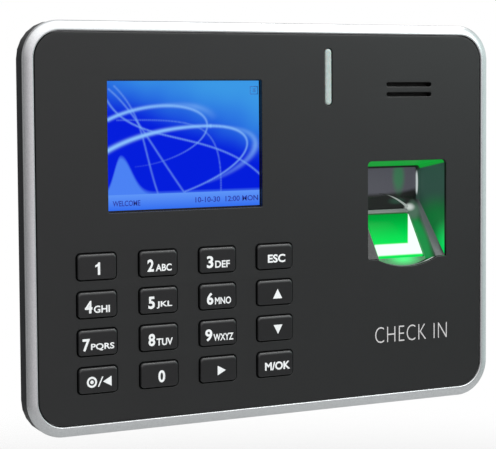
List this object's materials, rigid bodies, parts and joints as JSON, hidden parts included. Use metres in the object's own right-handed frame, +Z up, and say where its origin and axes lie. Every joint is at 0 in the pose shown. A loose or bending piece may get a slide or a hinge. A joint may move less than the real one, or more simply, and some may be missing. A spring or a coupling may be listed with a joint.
{
  "type": "fingerprint scanner terminal",
  "caption": "Wall-mounted fingerprint scanner terminal with a colour display, telephone-style keypad, status light and lit optical sensor recess, hung on a steel bracket.",
  "frame": {"origin": "centre of the wall bracket's back face, on the wall", "axes": "+X to the right of the person facing the terminal, +Y into the wall, +Z up; the front looks along -Y"},
  "size_m": [0.1846, 0.0307, 0.138],
  "materials": {
    "plated_steel": "zinc plated sheet",
    "black_abs": "fine moulded texture",
    "key_abs": "satin, white printed legend",
    "silver_paint": "silver metallic paint on ABS",
    "rear_abs": "moulded texture",
    "tin_plate": "tinned sheet",
    "display": "lit colour display",
    "backlight": "white acrylic",
    "cable_film": "polyimide film",
    "keypad_rubber": "moulded silicone",
    "board": "green solder mask on glass laminate",
    "diffuser": "milky acrylic",
    "cloth": "black acoustic cloth",
    "speaker_steel": "stamped basket",
    "platen_glass": "lit green from inside",
    "grey_abs": "satin",
    "black_nylon": "moulded",
    "chip_epoxy": "moulded epoxy",
    "nickel": "nickel plated cell",
    "green_nylon": "moulded",
    "white_acetal": "acetal",
    "screw_steel": "zinc plated"
  },
  "bodies": {
    "wall_bracket": {"wall_bracket": "plated_steel"},
    "terminal": {"front_panel": "black_abs", "finger_guide": "black_abs", "bezel_ring": "silver_paint", "rear_housing": "rear_abs", "display_frame": "tin_plate", "lan_port": "tin_plate", "usb_port": "tin_plate", "display_glass": "display", "display_backlight": "backlight", "display_cable": "cable_film", "sensor_cable": "cable_film", "keypad_mat": "keypad_rubber", "keypad_board": "board", "main_board": "board", "camera_board": "board", "light_board": "board", "status_board": "board", "status_light_pipe": "diffuser", "speaker_cloth": "cloth", "speaker": "speaker_steel", "platen": "platen_glass", "platen_retainer": "grey_abs", "sensor_housing": "black_nylon", "sensor_lens": "black_nylon", "battery_holder": "black_nylon", "power_jack": "black_nylon", "processor": "chip_epoxy", "memory_chip": "chip_epoxy", "tamper_switch": "chip_epoxy", "reset_switch": "chip_epoxy", "clock_battery": "nickel", "terminal_block": "green_nylon", "case_screw_1": "screw_steel", "case_screw_2": "screw_steel", "case_screw_3": "screw_steel", "case_screw_4": "screw_steel", "board_screw_1": "screw_steel", "board_screw_2": "screw_steel", "board_screw_3": "screw_steel", "board_screw_4": "screw_steel"},
    "locking_screw": {"locking_screw": "screw_steel"},
    "tamper_plunger": {"tamper_plunger": "white_acetal"},
    "reset_button": {"reset_button": "white_acetal"},
    "key_1": {"key_1": "key_abs"},
    "key_2": {"key_2": "key_abs"},
    "key_3": {"key_3": "key_abs"},
    "key_escape": {"key_escape": "key_abs"},
    "key_4": {"key_4": "key_abs"},
    "key_5": {"key_5": "key_abs"},
    "key_6": {"key_6": "key_abs"},
    "key_up": {"key_up": "key_abs"},
    "key_7": {"key_7": "key_abs"},
    "key_8": {"key_8": "key_abs"},
    "key_9": {"key_9": "key_abs"},
    "key_down": {"key_down": "key_abs"},
    "key_power_left": {"key_power_left": "key_abs"},
    "key_0": {"key_0": "key_abs"},
    "key_right": {"key_right": "key_abs"},
    "key_menu_ok": {"key_menu_ok": "key_abs"}
  },
  "joints": [
    {"name": "terminal_lift", "type": "slide", "parent": "wall_bracket", "child": "terminal", "axis": [0, 0, 1], "range_m": [0, 0.006]},
    {"name": "locking_screw_out", "type": "slide", "parent": "terminal", "child": "locking_screw", "axis": [0, 0, -1], "range_m": [0, 0.014]},
    {"name": "tamper_press", "type": "slide", "parent": "terminal", "child": "tamper_plunger", "axis": [0, -1, 0], "range_m": [0, 0.0008], "stiffness_N_per_m": 300},
    {"name": "reset_press", "type": "slide", "parent": "terminal", "child": "reset_button", "axis": [0, 0, 1], "range_m": [0, 0.0006], "stiffness_N_per_m": 800},
    {"name": "key_1_press", "type": "slide", "parent": "terminal", "child": "key_1", "axis": [0, 1, 0], "range_m": [0, 0.0012], "stiffness_N_per_m": 400},
    {"name": "key_2_press", "type": "slide", "parent": "terminal", "child": "key_2", "axis": [0, 1, 0], "range_m": [0, 0.0012], "stiffness_N_per_m": 400},
    {"name": "key_3_press", "type": "slide", "parent": "terminal", "child": "key_3", "axis": [0, 1, 0], "range_m": [0, 0.0012], "stiffness_N_per_m": 400},
    {"name": "key_escape_press", "type": "slide", "parent": "terminal", "child": "key_escape", "axis": [0, 1, 0], "range_m": [0, 0.0012], "stiffness_N_per_m": 400},
    {"name": "key_4_press", "type": "slide", "parent": "terminal", "child": "key_4", "axis": [0, 1, 0], "range_m": [0, 0.0012], "stiffness_N_per_m": 400},
    {"name": "key_5_press", "type": "slide", "parent": "terminal", "child": "key_5", "axis": [0, 1, 0], "range_m": [0, 0.0012], "stiffness_N_per_m": 400},
    {"name": "key_6_press", "type": "slide", "parent": "terminal", "child": "key_6", "axis": [0, 1, 0], "range_m": [0, 0.0012], "stiffness_N_per_m": 400},
    {"name": "key_up_press", "type": "slide", "parent": "terminal", "child": "key_up", "axis": [0, 1, 0], "range_m": [0, 0.0012], "stiffness_N_per_m": 400},
    {"name": "key_7_press", "type": "slide", "parent": "terminal", "child": "key_7", "axis": [0, 1, 0], "range_m": [0, 0.0012], "stiffness_N_per_m": 400},
    {"name": "key_8_press", "type": "slide", "parent": "terminal", "child": "key_8", "axis": [0, 1, 0], "range_m": [0, 0.0012], "stiffness_N_per_m": 400},
    {"name": "key_9_press", "type": "slide", "parent": "terminal", "child": "key_9", "axis": [0, 1, 0], "range_m": [0, 0.0012], "stiffness_N_per_m": 400},
    {"name": "key_down_press", "type": "slide", "parent": "terminal", "child": "key_down", "axis": [0, 1, 0], "range_m": [0, 0.0012], "stiffness_N_per_m": 400},
    {"name": "key_power_left_press", "type": "slide", "parent": "terminal", "child": "key_power_left", "axis": [0, 1, 0], "range_m": [0, 0.0012], "stiffness_N_per_m": 400},
    {"name": "key_0_press", "type": "slide", "parent": "terminal", "child": "key_0", "axis": [0, 1, 0], "range_m": [0, 0.0012], "stiffness_N_per_m": 400},
    {"name": "key_right_press", "type": "slide", "parent": "terminal", "child": "key_right", "axis": [0, 1, 0], "range_m": [0, 0.0012], "stiffness_N_per_m": 400},
    {"name": "key_menu_ok_press", "type": "slide", "parent": "terminal", "child": "key_menu_ok", "axis": [0, 1, 0], "range_m": [0, 0.0012], "stiffness_N_per_m": 400}
  ]
}
